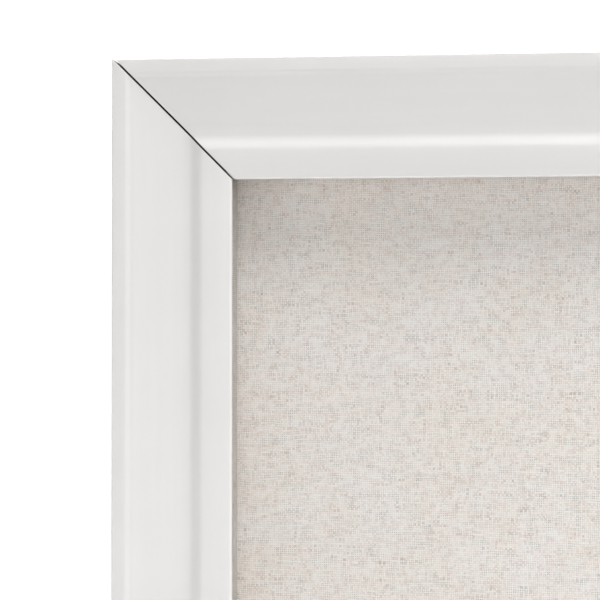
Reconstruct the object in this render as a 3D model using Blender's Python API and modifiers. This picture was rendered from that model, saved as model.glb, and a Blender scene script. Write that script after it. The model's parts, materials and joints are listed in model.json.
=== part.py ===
"""A shadow box: a glazed, mitred picture moulding over a shallow linen-lined display space.

Metres, +Z up. X is the width, the glass faces -Y, and the back with its turn buttons faces +Y.
The origin is under the middle of the box, on the surface that it stands on.
"""

import math

import bmesh
import bpy
from mathutils import Vector

# The backing is a standard 11 x 14 inch sheet, and the moulding is 1 1/2 inch wide
BACKING_WIDTH = 0.2794
BACKING_HEIGHT = 0.3556
LIP_OVERLAP = 0.00635
RAIL_WIDTH = 0.0381
RAIL_THICKNESS = 0.0300
SIGHT_WIDTH = BACKING_WIDTH - 2 * LIP_OVERLAP
SIGHT_HEIGHT = BACKING_HEIGHT - 2 * LIP_OVERLAP
OUTER_WIDTH = SIGHT_WIDTH + 2 * RAIL_WIDTH
OUTER_HEIGHT = SIGHT_HEIGHT + 2 * RAIL_WIDTH
CENTRE_Z = OUTER_HEIGHT / 2
GAP = 0.0003
MITRE_GAP = 0.0004

# Depths are measured from the moulding's back plane, forwards to the glass
BUMPER_HEIGHT = 0.0052
BACK_Y = (RAIL_THICKNESS - BUMPER_HEIGHT) / 2
PANEL_THICKNESS = 0.0029
BOARD_THICKNESS = 0.0030
LINEN_THICKNESS = 0.0006
DISPLAY_DEPTH = 0.0130
GLASS_THICKNESS = 0.0020
PANEL_BACK = GAP
COVER_BACK = PANEL_BACK + PANEL_THICKNESS + GAP
LINEN_FACE = COVER_BACK + BOARD_THICKNESS + GAP + LINEN_THICKNESS
GLASS_BACK = LINEN_FACE + DISPLAY_DEPTH
LEDGE_DEPTH = GLASS_BACK + GLASS_THICKNESS + GAP
RABBET_WIDTH = LIP_OVERLAP + 0.00085

# The moulding's face, from its outer edge to its sight edge
EDGE_RADIUS = 0.0008
FILLET_WIDTH = 0.0040
STEP_WIDTH = 0.0024
STEP_DROP = 0.0005
SCOOP_WIDTH = 0.0166
SCOOP_FALL = 0.0017
SCOOP_START_SLOPE = 0.15
FLAT_WIDTH = 0.0016
COVE_WIDTH = 0.0050
COVE_RISE = 0.0011
BEAD_FALL = 0.0005
LIP_RADIUS = 0.0014
FACE_STEPS = 6
ARC_STEPS = 4

# The wrapped spacers between the linen and the glass
SPACER_SETBACK = 0.0005
SPACER_BEVEL = 0.0004

# Corner nails
NAIL_LEG = 0.0050
NAIL_STEEL = 0.0005
NAIL_DEPTH = 0.0070
NAIL_SHARES = (0.30, 0.66)

# Turn buttons and their screws
BUTTON_WIDTH = 0.0100
BUTTON_STEEL = 0.0012
BUTTON_LONG = 0.0190
BUTTON_SHORT = 0.0060
BUTTON_INSET = 0.0105
BUTTON_HEIGHT_SHARE = 0.22
SCREW_RADIUS = 0.0015
SCREW_LENGTH = 0.0120
SCREW_POINT = 0.0030
HEAD_RADIUS = 0.0030
HEAD_HEIGHT = 0.0018
RECESS_LENGTH = 0.0034
RECESS_WIDTH = 0.0008
RECESS_DEPTH = 0.0010
HOLE_RADIUS = SCREW_RADIUS + GAP

# Hangers: a strap plate with a rolled eye, and a D-shaped ring in it
STRAP_WIDTH = 0.0100
STRAP_STEEL = 0.0010
STRAP_LENGTH = 0.0115
STRAP_SCREW_DROP = 0.0065
EYE_RADIUS = 0.00225
EYE_BORE = 0.0015
EYE_STANDOFF = 0.0026
RING_WIRE = 0.0022
RING_WIDTH = 0.0160
RING_SIDE = 0.0115
RING_CORNER = 0.0025
HANGER_INSET = 0.0155
HANGER_HEIGHT_SHARE = 0.78

BUMPER_RADIUS = 0.0055
BUMPER_EDGE = 0.0010
BUMPER_INSET = 0.0130

WELD = 0.000001
EYE_END_GAP = 0.00001
SHARP_ANGLE = 35
ROUND_STEPS = 16
HEAD_STEPS = 3
FLAT_IN_XZ = math.pi / 2


def clear_scene():
    for obj in list(bpy.data.objects):
        bpy.data.objects.remove(obj, do_unlink=True)


def new_collection(name, hidden=False):
    collection = bpy.data.collections.new(name)
    collection.hide_render = hidden
    bpy.context.scene.collection.children.link(collection)
    return collection


def new_material(name, colour, roughness, metallic=0.0, alpha=1.0):
    material = bpy.data.materials.new(name)
    material.use_nodes = True
    shader = material.node_tree.nodes["Principled BSDF"]
    shader.inputs["Base Color"].default_value = (*colour, 1.0)
    shader.inputs["Roughness"].default_value = roughness
    shader.inputs["Metallic"].default_value = metallic
    shader.inputs["Alpha"].default_value = alpha
    material.diffuse_color = (*colour, alpha)
    return material


clear_scene()
PARTS = new_collection("shadow_box")
CUTTERS = new_collection("cutters", hidden=True)

WHITE_PAINT = new_material("white_paint", (0.82, 0.81, 0.80), 0.42)
LINEN = new_material("linen", (0.70, 0.65, 0.61), 0.9)
HARDBOARD = new_material("hardboard", (0.33, 0.22, 0.13), 0.75)
GREYBOARD = new_material("greyboard", (0.50, 0.47, 0.42), 0.85)
GLASS = new_material("glass", (0.95, 0.98, 0.97), 0.03, alpha=0.15)
ZINC = new_material("zinc_plated_steel", (0.62, 0.62, 0.60), 0.35, metallic=1.0)
NICKEL = new_material("nickel_plated_steel", (0.66, 0.63, 0.58), 0.28, metallic=1.0)
RUBBER = new_material("rubber", (0.80, 0.79, 0.76), 0.6)


def add_part(obj, material):
    obj.data.materials.clear()
    obj.data.materials.append(material)
    PARTS.objects.link(obj)
    return obj


def add_cutter(obj):
    obj.hide_render = True
    obj.display_type = "WIRE"
    CUTTERS.objects.link(obj)
    return obj


def place(obj, location, rotation=(0, 0, 0)):
    obj.location = location
    obj.rotation_euler = rotation
    return obj


def smooth(obj):
    obj.data.shade_smooth()
    obj.data.set_sharp_from_angle(angle=math.radians(SHARP_ANGLE))
    return obj


def object_from(bm, name):
    mesh = bpy.data.meshes.new(name)
    bm.to_mesh(mesh)
    bm.free()
    return bpy.data.objects.new(name, mesh)


def box(name, low, high):
    """A block between two corners, with its origin at its middle."""
    low, high = Vector(low), Vector(high)
    bm = bmesh.new()
    bmesh.ops.create_cube(bm, size=1.0)
    bmesh.ops.scale(bm, vec=high - low, verts=bm.verts)
    return place(object_from(bm, name), (low + high) / 2)


def cylinder(name, radius, length):
    """A rod along its own Z, centred on its origin."""
    bm = bmesh.new()
    bmesh.ops.create_cone(
        bm, cap_ends=True, segments=ROUND_STEPS, radius1=radius, radius2=radius, depth=length
    )
    return object_from(bm, name)


def arc(centre, radius, start, end, steps):
    """Points on an arc in degrees, both ends included."""
    angles = [math.radians(start + (end - start) * i / steps) for i in range(steps + 1)]
    return [(centre[0] + radius * math.cos(a), centre[1] + radius * math.sin(a)) for a in angles]


def mesh_of_curve(curve):
    """A curve object's evaluated shape as a welded mesh object; the curve is removed."""
    PARTS.objects.link(curve)
    bpy.context.view_layer.update()
    evaluated = curve.evaluated_get(bpy.context.evaluated_depsgraph_get())
    mesh = bpy.data.meshes.new_from_object(evaluated)
    bm = bmesh.new()
    bm.from_mesh(mesh)
    bmesh.ops.remove_doubles(bm, verts=bm.verts, dist=WELD)
    bmesh.ops.recalc_face_normals(bm, faces=bm.faces)
    name = curve.name
    matrix = curve.matrix_world.copy()
    bpy.data.objects.remove(curve, do_unlink=True)
    bpy.data.meshes.remove(mesh)
    obj = object_from(bm, name)
    obj.matrix_world = matrix
    return obj


def curve_object(name, outlines, dimensions):
    data = bpy.data.curves.new(name, "CURVE")
    data.dimensions = dimensions
    for outline in outlines:
        spline = data.splines.new("POLY")
        spline.points.add(len(outline) - 1)
        for point, (x, y) in zip(spline.points, outline):
            point.co = (x, y, 0, 1)
        spline.use_cyclic_u = True
    return bpy.data.objects.new(name, data)


def flat_shape(name, outlines, thickness):
    """Closed outlines in XY, the later ones holes in the first, as a plate centred on Z = 0."""
    curve = curve_object(name, outlines, "2D")
    curve.data.fill_mode = "BOTH"
    curve.data.extrude = thickness / 2
    return mesh_of_curve(curve)


def turned(name, profile):
    """A solid of revolution about Z; the profile's (radius, z) points run from top to bottom."""
    mesh = bpy.data.meshes.new(name)
    edges = [(i, i + 1) for i in range(len(profile) - 1)]
    mesh.from_pydata([(radius, 0, z) for radius, z in profile], edges, [])
    obj = bpy.data.objects.new(name, mesh)
    screw = obj.modifiers.new("turn", "SCREW")
    screw.axis = "Z"
    screw.steps = ROUND_STEPS
    screw.render_steps = ROUND_STEPS
    screw.use_merge_vertices = True
    screw.merge_threshold = WELD
    screw.use_smooth_shade = True
    return obj


def boolean(obj, other, operation="DIFFERENCE"):
    modifier = obj.modifiers.new(operation.lower(), "BOOLEAN")
    modifier.operation = operation
    modifier.solver = "EXACT"
    modifier.object = other


def soften(obj, width, segments=1):
    bevel = obj.modifiers.new("soften", "BEVEL")
    bevel.width = width
    bevel.segments = segments
    bevel.limit_method = "ANGLE"


def behind(depth):
    """World Y of a plane a given distance in front of the moulding's back plane."""
    return BACK_Y - depth


# The moulding


def ease(share):
    return share * share * (3 - 2 * share)


def face_run(start, width, rise, shape):
    """Points along one stretch of the moulding's face, after its start point."""
    shares = [i / FACE_STEPS for i in range(1, FACE_STEPS + 1)]
    return [(start[0] + width * t, start[1] + rise * shape(t)) for t in shares]


def scoop_shape(share):
    """The scoop falls at its steepest where it leaves the outer step, and eases towards the cove."""
    steep = SCOOP_START_SLOPE * SCOOP_WIDTH / SCOOP_FALL
    return steep * share + (1 - steep) * share * share


def moulding_outline():
    """The rail's section: (distance in from the outer edge, height above the back plane)."""
    top = RAIL_THICKNESS
    points = [(0, 0)]
    points += arc((EDGE_RADIUS, top - EDGE_RADIUS), EDGE_RADIUS, 180, 90, ARC_STEPS)
    points.append((FILLET_WIDTH, top))
    points += face_run(points[-1], STEP_WIDTH, -STEP_DROP, ease)
    points += face_run(points[-1], SCOOP_WIDTH, -SCOOP_FALL, scoop_shape)
    valley = points[-1]
    points.append((valley[0] + FLAT_WIDTH, valley[1]))
    points += face_run(points[-1], COVE_WIDTH, COVE_RISE, ease)
    crest = points[-1]
    bead_width = RAIL_WIDTH - LIP_RADIUS - crest[0]
    points += face_run(crest, bead_width, -BEAD_FALL, lambda t: t * t)
    shoulder = points[-1]
    points += arc((shoulder[0], shoulder[1] - LIP_RADIUS), LIP_RADIUS, 90, 0, ARC_STEPS)[1:]
    points.append((RAIL_WIDTH, LEDGE_DEPTH))
    points.append((RAIL_WIDTH - RABBET_WIDTH, LEDGE_DEPTH))
    points.append((RAIL_WIDTH - RABBET_WIDTH, 0))
    return points


def rail(name, length, turn, reach):
    """A mitred length of moulding: each end draws in by its distance from the outer edge."""
    obj = flat_shape(name, [moulding_outline()], length)
    bm = bmesh.new()
    bm.from_mesh(obj.data)
    for vert in bm.verts:
        inward, height, along = vert.co
        end = math.copysign(length / 2 - inward - MITRE_GAP / math.sqrt(2), along)
        vert.co = (end, -height, reach - inward)
    bmesh.ops.recalc_face_normals(bm, faces=bm.faces)
    bm.to_mesh(obj.data)
    bm.free()
    smooth(obj)
    place(obj, (0, BACK_Y, CENTRE_Z), (0, turn, 0))
    return add_part(obj, WHITE_PAINT)


RAILS = {
    "top": rail("rail_top", OUTER_WIDTH, 0, OUTER_HEIGHT / 2),
    "right": rail("stile_right", OUTER_HEIGHT, math.pi / 2, OUTER_WIDTH / 2),
    "bottom": rail("rail_bottom", OUTER_WIDTH, math.pi, OUTER_HEIGHT / 2),
    "left": rail("stile_left", OUTER_HEIGHT, -math.pi / 2, OUTER_WIDTH / 2),
}


# Corner nails: a V of thin steel across each mitre, driven in from the back


def chevron(leg, steel):
    """A right-angled V, its point up, with legs of the given length and thickness."""
    half = steel / math.sqrt(2)
    reach = leg / math.sqrt(2)
    upper = [(-reach, -reach + half), (0, half), (reach, -reach + half)]
    lower = [(reach, -reach - half), (0, -half), (-reach, -reach - half)]
    return upper + lower


def corner_nail(corner, share, sides, signs):
    """One nail on the mitre, a share of the way from the outer corner to the rabbet."""
    inset = share * (RAIL_WIDTH - RABBET_WIDTH)
    sign_x, sign_z = signs
    x = sign_x * (OUTER_WIDTH / 2 - inset)
    z = CENTRE_Z + sign_z * (OUTER_HEIGHT / 2 - inset)
    turn = math.atan2(sign_x, sign_z)
    middle = (x, behind(GAP + NAIL_DEPTH / 2), z)
    name = f"corner_nail_{corner}_{'outer' if share == NAIL_SHARES[0] else 'inner'}"
    nail = flat_shape(name, [chevron(NAIL_LEG, NAIL_STEEL)], NAIL_DEPTH)
    add_part(place(nail, middle, (FLAT_IN_XZ, turn, 0)), ZINC)
    slot_outline = chevron(NAIL_LEG + GAP, NAIL_STEEL + 2 * GAP)
    slot = flat_shape(f"{name}_slot", [slot_outline], NAIL_DEPTH + 4 * GAP)
    add_cutter(place(slot, middle, (FLAT_IN_XZ, turn, 0)))
    for side in sides:
        boolean(RAILS[side], slot)


CORNERS = {
    "top_left": (("top", "left"), (-1, 1)),
    "top_right": (("top", "right"), (1, 1)),
    "bottom_left": (("bottom", "left"), (-1, -1)),
    "bottom_right": (("bottom", "right"), (1, -1)),
}
for corner_name, (corner_sides, corner_signs) in CORNERS.items():
    for nail_share in NAIL_SHARES:
        corner_nail(corner_name, nail_share, corner_sides, corner_signs)


# The stack in the rabbet: glass, spacers, linen-covered board and back panel


def sheet(name, width, height, back, thickness, material):
    low = (-width / 2, behind(back + thickness), CENTRE_Z - height / 2)
    high = (width / 2, behind(back), CENTRE_Z + height / 2)
    return add_part(box(name, low, high), material)


def linen_cover():
    """The linen drawn over the board's face and edges: a thin tray, open at the back."""
    depth = LINEN_FACE - COVER_BACK
    bm = bmesh.new()
    bmesh.ops.create_cube(bm, size=1.0)
    bmesh.ops.scale(bm, vec=(BACKING_WIDTH, depth, BACKING_HEIGHT), verts=bm.verts)
    back = [face for face in bm.faces if face.normal.y > 0.5]
    bmesh.ops.delete(bm, geom=back, context="FACES_ONLY")
    obj = place(object_from(bm, "linen_cover"), (0, behind(COVER_BACK + depth / 2), CENTRE_Z))
    skin = obj.modifiers.new("cloth", "SOLIDIFY")
    skin.thickness = LINEN_THICKNESS
    skin.offset = -1
    skin.use_even_offset = True
    return add_part(obj, LINEN)


def spacers():
    """Linen-wrapped strips between the board and the glass; the upright ones stand between the others."""
    inner_x = SIGHT_WIDTH / 2 + SPACER_SETBACK
    inner_z = SIGHT_HEIGHT / 2 + SPACER_SETBACK
    outer_x = SIGHT_WIDTH / 2 + RABBET_WIDTH - GAP
    outer_z = SIGHT_HEIGHT / 2 + RABBET_WIDTH - GAP
    front = behind(GLASS_BACK - GAP)
    back = behind(LINEN_FACE + GAP)
    for side, sign in (("top", 1), ("bottom", -1)):
        near, far = sorted((CENTRE_Z + sign * inner_z, CENTRE_Z + sign * outer_z))
        strip = box(f"spacer_{side}", (-outer_x, front, near), (outer_x, back, far))
        soften(add_part(strip, LINEN), SPACER_BEVEL)
    low, high = CENTRE_Z - inner_z + GAP, CENTRE_Z + inner_z - GAP
    for side, sign in (("left", -1), ("right", 1)):
        near, far = sorted((sign * inner_x, sign * outer_x))
        strip = box(f"spacer_{side}", (near, front, low), (far, back, high))
        soften(add_part(strip, LINEN), SPACER_BEVEL)


sheet("glazing", BACKING_WIDTH, BACKING_HEIGHT, GLASS_BACK, GLASS_THICKNESS, GLASS)
spacers()
linen_cover()
skin_allowance = 2 * (LINEN_THICKNESS + GAP)
sheet(
    "backing_board",
    BACKING_WIDTH - skin_allowance,
    BACKING_HEIGHT - skin_allowance,
    COVER_BACK,
    BOARD_THICKNESS,
    GREYBOARD,
)
sheet("back_panel", BACKING_WIDTH, BACKING_HEIGHT, PANEL_BACK, PANEL_THICKNESS, HARDBOARD)


# Screws


def screw(name, x, z, head_back, side):
    """A pan-head screw driven forwards into a rail; head_back is how far its head's seat stands back."""
    edge = HEAD_RADIUS - HEAD_HEIGHT / 2
    head = [(0, HEAD_HEIGHT)]
    head += arc((edge, HEAD_HEIGHT / 2), HEAD_HEIGHT / 2, 90, 0, HEAD_STEPS)
    head.append((HEAD_RADIUS, 0))
    shank_end = -(SCREW_LENGTH - SCREW_POINT)
    shank = [(SCREW_RADIUS, 0), (SCREW_RADIUS, shank_end), (0, -SCREW_LENGTH)]
    obj = turned(name, head + shank)
    seat = (x, BACK_Y + head_back, z)
    add_part(place(obj, seat, (-math.pi / 2, 0, 0)), ZINC)
    for turn in (0, math.pi / 2):
        bar = box(
            f"{name}_recess",
            (-RECESS_LENGTH / 2, -RECESS_DEPTH, -RECESS_WIDTH / 2),
            (RECESS_LENGTH / 2, RECESS_DEPTH, RECESS_WIDTH / 2),
        )
        place(bar, (x, BACK_Y + head_back + HEAD_HEIGHT, z), (0, math.pi / 4 + turn, 0))
        boolean(obj, add_cutter(bar))
    hole = cylinder(f"{name}_pilot", HOLE_RADIUS, 2 * (SCREW_LENGTH + GAP))
    boolean(RAILS[side], add_cutter(place(hole, seat, (math.pi / 2, 0, 0))))


# Turn buttons: each swings over the back panel's edge to hold it in


def turn_button(name, x, z, side, turn):
    """A stadium-shaped steel tab, its pivot hole at the origin and its long end along its own X."""
    half = BUTTON_WIDTH / 2
    outline = arc((BUTTON_LONG - half, 0), half, 90, -90, 2 * ARC_STEPS)
    outline += arc((half - BUTTON_SHORT, 0), half, -90, -270, 2 * ARC_STEPS)
    hole = arc((0, 0), HOLE_RADIUS, 0, 360, ROUND_STEPS)[:-1]
    tab = flat_shape(f"turn_button_{name}", [outline, hole], BUTTON_STEEL)
    middle = (x, BACK_Y + GAP + BUTTON_STEEL / 2, z)
    add_part(place(tab, middle, (FLAT_IN_XZ, turn, 0)), ZINC)
    screw(f"turn_button_screw_{name}", x, z, BUTTON_STEEL + 2 * GAP, side)


pivot_x = SIGHT_WIDTH / 2 + RABBET_WIDTH + BUTTON_INSET
pivot_z = SIGHT_HEIGHT / 2 + RABBET_WIDTH + BUTTON_INSET
rise = BUTTON_HEIGHT_SHARE * SIGHT_HEIGHT
turn_button("top", 0, CENTRE_Z + pivot_z, "top", math.pi / 2)
turn_button("bottom", 0, CENTRE_Z - pivot_z, "bottom", -math.pi / 2)
for level, height in (("upper", CENTRE_Z + rise), ("lower", CENTRE_Z - rise)):
    turn_button(f"left_{level}", -pivot_x, height, "left", 0)
    turn_button(f"right_{level}", pivot_x, height, "right", math.pi)


# Hangers: a D-shaped ring hangs from the rolled eye at the top of each strap


def hanger_plate(name, x, eye_y, z):
    half = STRAP_WIDTH / 2
    outline = [(-half, 0), (-half, half - STRAP_LENGTH)]
    outline += arc((0, half - STRAP_LENGTH), half, 180, 360, 2 * ARC_STEPS)[1:]
    outline.append((half, 0))
    hole = arc((0, -STRAP_SCREW_DROP), HOLE_RADIUS, 0, 360, ROUND_STEPS)[:-1]
    plate = flat_shape(name, [outline, hole], STRAP_STEEL)
    add_part(place(plate, (x, BACK_Y + GAP + STRAP_STEEL / 2, z), (FLAT_IN_XZ, 0, 0)), NICKEL)
    along_x = (0, math.pi / 2, 0)
    eye = cylinder(f"{name}_eye", EYE_RADIUS, STRAP_WIDTH - 2 * EYE_END_GAP)
    boolean(plate, add_cutter(place(eye, (x, eye_y, z), along_x)), "UNION")
    bore = cylinder(f"{name}_bore", EYE_BORE, 2 * STRAP_WIDTH)
    boolean(plate, add_cutter(place(bore, (x, eye_y, z), along_x)))


def hanger_ring(name, x, eye_y, z):
    """A closed D of wire: a straight bar through the eye, two sides and a half-round end."""
    half = RING_WIDTH / 2
    outline = arc((-half + RING_CORNER, -RING_CORNER), RING_CORNER, 180, 90, ARC_STEPS)
    outline += arc((half - RING_CORNER, -RING_CORNER), RING_CORNER, 90, 0, ARC_STEPS)
    outline += arc((0, -RING_SIDE), half, 0, -180, 3 * ARC_STEPS)
    curve = curve_object(name, [outline], "3D")
    curve.data.bevel_depth = RING_WIRE / 2
    curve.data.bevel_resolution = 2
    ring = smooth(mesh_of_curve(curve))
    add_part(place(ring, (x, eye_y, z), (FLAT_IN_XZ, 0, 0)), NICKEL)


hanger_x = OUTER_WIDTH / 2 - HANGER_INSET
hanger_z = HANGER_HEIGHT_SHARE * OUTER_HEIGHT
hanger_y = BACK_Y + EYE_STANDOFF
for side_name, hand in (("left", -1), ("right", 1)):
    hanger_plate(f"hanger_plate_{side_name}", hand * hanger_x, hanger_y, hanger_z)
    hanger_ring(f"hanger_ring_{side_name}", hand * hanger_x, hanger_y, hanger_z)
    screw(
        f"hanger_screw_{side_name}",
        hand * hanger_x,
        hanger_z - STRAP_SCREW_DROP,
        STRAP_STEEL + 2 * GAP,
        side_name,
    )


# Wall bumpers: stuck to the lower corners, they keep the box upright and off the wall


def wall_bumper(name, x, z):
    face = BUMPER_HEIGHT - GAP
    profile = [(0, face)]
    profile += arc((BUMPER_RADIUS - BUMPER_EDGE, face - BUMPER_EDGE), BUMPER_EDGE, 90, 0, ARC_STEPS)
    profile += [(BUMPER_RADIUS, 0), (0, 0)]
    add_part(place(turned(name, profile), (x, BACK_Y + GAP, z), (-math.pi / 2, 0, 0)), RUBBER)


for side_name, hand in (("left", -1), ("right", 1)):
    bumper_x = hand * (OUTER_WIDTH / 2 - BUMPER_INSET)
    wall_bumper(f"wall_bumper_{side_name}", bumper_x, BUMPER_INSET)
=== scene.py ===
"""The looks of a shadow box: white mitred moulding, linen-lined display space and back hardware.

Metres, in the frame's own axes: X is the width, the glass faces -Y, the back faces +Y, and Z is up.
"""

import json
import math

import bmesh
import bpy
from mathutils import Matrix, Vector, noise

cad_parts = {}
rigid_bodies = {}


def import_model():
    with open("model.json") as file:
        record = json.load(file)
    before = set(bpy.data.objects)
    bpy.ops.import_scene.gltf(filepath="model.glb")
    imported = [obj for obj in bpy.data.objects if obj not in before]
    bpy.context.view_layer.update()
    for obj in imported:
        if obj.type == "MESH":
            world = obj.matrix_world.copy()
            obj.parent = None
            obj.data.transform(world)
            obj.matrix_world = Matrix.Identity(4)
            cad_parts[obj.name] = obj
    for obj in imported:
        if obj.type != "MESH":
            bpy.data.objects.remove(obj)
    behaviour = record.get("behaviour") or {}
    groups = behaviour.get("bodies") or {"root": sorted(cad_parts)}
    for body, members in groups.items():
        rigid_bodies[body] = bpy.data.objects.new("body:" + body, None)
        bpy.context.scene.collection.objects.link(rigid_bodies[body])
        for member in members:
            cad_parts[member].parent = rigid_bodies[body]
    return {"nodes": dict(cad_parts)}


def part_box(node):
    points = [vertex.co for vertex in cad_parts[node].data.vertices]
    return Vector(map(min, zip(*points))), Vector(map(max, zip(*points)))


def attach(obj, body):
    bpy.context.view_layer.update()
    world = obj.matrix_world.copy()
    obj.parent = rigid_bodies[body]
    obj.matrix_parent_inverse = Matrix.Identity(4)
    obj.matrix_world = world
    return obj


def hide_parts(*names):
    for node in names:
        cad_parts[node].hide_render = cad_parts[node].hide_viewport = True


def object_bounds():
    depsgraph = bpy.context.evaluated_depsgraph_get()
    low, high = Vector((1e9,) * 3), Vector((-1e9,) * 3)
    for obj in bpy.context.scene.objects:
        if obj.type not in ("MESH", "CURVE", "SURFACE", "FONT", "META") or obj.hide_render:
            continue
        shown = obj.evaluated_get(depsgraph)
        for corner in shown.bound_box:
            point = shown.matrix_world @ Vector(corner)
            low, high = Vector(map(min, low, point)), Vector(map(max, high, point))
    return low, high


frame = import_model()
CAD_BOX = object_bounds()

# Sizes read from the frame, whose pieces stand GAP apart
OUTER_WIDTH = CAD_BOX[1].x - CAD_BOX[0].x
OUTER_HEIGHT = CAD_BOX[1].z - CAD_BOX[0].z
CENTRE_Z = (CAD_BOX[1].z + CAD_BOX[0].z) / 2
FRONT_Y, BACK_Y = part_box("stile_left")[0].y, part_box("stile_left")[1].y
RAIL_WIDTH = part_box("stile_left")[1].x - CAD_BOX[0].x
RAIL_THICKNESS = BACK_Y - FRONT_Y
SIGHT_WIDTH = OUTER_WIDTH - 2 * RAIL_WIDTH
SIGHT_HEIGHT = OUTER_HEIGHT - 2 * RAIL_WIDTH
GAP = 0.0003
LEDGE_DEPTH = BACK_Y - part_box("glazing")[0].y + GAP
RABBET_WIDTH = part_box("spacer_right")[1].x - SIGHT_WIDTH / 2 + GAP
SKIN = 0.0001
TINY = 0.000001

# The moulding: its mitres, then its face from the outer edge to the sight edge
MITRE_GAP = 0.00064
MITRE_DEPTH = 0.0025
MITRE_CLEARANCE = 0.00003
MITRE_DRIFT = 0.00065
MITRE_TAPER = 0.0057
CORE_HEIGHT = 0.83
EDGE_RADIUS = 0.0003
FILLET_WIDTH = 0.0040
STEP_WIDTH = 0.0024
STEP_DROP = 0.0005
SCOOP_WIDTH = 0.0166
SCOOP_FALL = 0.0020
SCOOP_START_SLOPE = 0.15
FLAT_WIDTH = 0.0016
COVE_WIDTH = 0.0050
COVE_RISE = 0.0014
BEAD_FALL = 0.0005
LIP_RADIUS = 0.0009
LIP_OVERHANG = 0.0007
LIP_BACK_CUT = 0.0003
FACE_STEPS = 14
ARC_STEPS = 7
RAIL_STATIONS = 12
PAINTED, BARE, SAWN = 0, 1, 2

# The linen, its weave and how it is drawn over the board; then the boards and the glass
CLOTH = 0.00045
WARP_PITCH = 0.00067
WEFT_PITCH = 0.00073
HEM = 0.0160
FOLD_RADIUS = 0.0009
FRONT_STEP = 0.0045
WRAP_RADIUS = 0.0012
FOLD_STEPS = 5
HEM_STEPS = 6
WRAP_STEPS = 4
WRAP_OPENING = 0.1
SLACK = 0.0001
COVER_RELIEF, COVER_WAVES = 0.00006, 70
WRAP_RELIEF, WRAP_WAVES = 0.00005, 90
SCREEN_PITCH = 0.0006
CARD_EDGE = 0.0004
STRIP_EDGE = 0.0003
PANE_EDGE = 0.0002


# Node trees


class Wire:
    """One output of a node. Arithmetic on it adds Math nodes to its tree."""

    def __init__(self, tree, socket):
        self.tree = tree
        self.socket = socket

    def maths(self, operation, *others):
        return self.tree.add("ShaderNodeMath", {"operation": operation}, dict(enumerate((self, *others))))

    def __add__(self, other):
        return self.maths("ADD", other)

    def __sub__(self, other):
        return self.maths("SUBTRACT", other)

    def __mul__(self, other):
        return self.maths("MULTIPLY", other)

    def __truediv__(self, other):
        return self.maths("DIVIDE", other)

    def __pow__(self, other):
        return self.maths("POWER", other)

    def __rsub__(self, other):
        return self.tree.add("ShaderNodeMath", {"operation": "SUBTRACT"}, {0: other, 1: self})

    def __abs__(self):
        return self.maths("ABSOLUTE")

    __radd__ = __add__
    __rmul__ = __mul__

    def floor(self):
        return self.maths("FLOOR")

    def between(self, low, high):
        """0 below low, 1 above high, and a smooth rise from one to the other."""
        settings = {"interpolation_type": "SMOOTHSTEP"}
        return self.tree.add("ShaderNodeMapRange", settings, {0: self, 1: low, 2: high})


class Tree:
    """A node tree, with one method that adds any node."""

    def __init__(self, nodes):
        self.nodes = nodes

    def add(self, kind, settings=None, values=None, output=0):
        node = self.nodes.nodes.new(kind)
        for name, setting in (settings or {}).items():
            if name == "stops":
                set_stops(node.color_ramp, setting)
            else:
                setattr(node, name, setting)
        for name, value in (values or {}).items():
            self.feed(node.inputs[name], value)
        return Wire(self, node.outputs[output])

    def feed(self, socket, value):
        if isinstance(value, Wire):
            self.nodes.links.new(value.socket, socket)
        else:
            socket.default_value = value

    def mix(self, factor, low, high, blend="MIX"):
        """A colour between two, or two colours blended."""
        settings = {"data_type": "RGBA", "blend_type": blend}
        return self.add("ShaderNodeMix", settings, {0: factor, 6: low, 7: high}, output=2)

    def place(self, scale=(1, 1, 1)):
        """Where a point is on its piece, in metres, stretched by scale."""
        where = self.add("ShaderNodeTexCoord", output="Object")
        return self.add("ShaderNodeMapping", None, {"Vector": where, "Scale": scale})

    def along(self, layer, scale=(1, 1, 1)):
        """A piece's own map, in metres, stretched by scale."""
        flat = self.add("ShaderNodeUVMap", {"uv_map": layer})
        return self.add("ShaderNodeMapping", None, {"Vector": flat, "Scale": scale})

    def parts(self, vector):
        """The X, Y and Z of a vector."""
        node = self.add("ShaderNodeSeparateXYZ", None, {0: vector}).socket.node
        return [Wire(self, socket) for socket in node.outputs]

    def cloud(self, vector, scale, detail=2.0, roughness=0.5):
        values = {"Vector": vector, "Scale": scale, "Detail": detail, "Roughness": roughness}
        return self.add("ShaderNodeTexNoise", None, values)

    def bump(self, height, distance, strength):
        values = {"Height": height, "Distance": distance, "Strength": strength}
        return self.add("ShaderNodeBump", None, values)


def set_stops(ramp, stops):
    while len(ramp.elements) > 1:
        ramp.elements.remove(ramp.elements[-1])
    ramp.elements[0].position, ramp.elements[0].color = stops[0]
    for position, colour in stops[1:]:
        ramp.elements.new(position).color = colour


def grey(value):
    return (value, value, value, 1.0)


def new_finish(name, constants=None):
    """A material with one Principled shader whose constants are set, and its node tree."""
    material = bpy.data.materials.new(name)
    material.use_nodes = True
    tree = Tree(material.node_tree)
    shader = material.node_tree.nodes["Principled BSDF"]
    for socket, value in (constants or {}).items():
        shader.inputs[socket].default_value = value
    return material, tree


def dressed(material, tree, colour, roughness=None, normal=None):
    """Feeds a material's shader what varies over the surface."""
    shader = material.node_tree.nodes["Principled BSDF"]
    for socket, value in (("Base Color", colour), ("Roughness", roughness), ("Normal", normal)):
        if value is not None:
            tree.feed(shader.inputs[socket], value)
    return material


# Finishes


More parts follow.
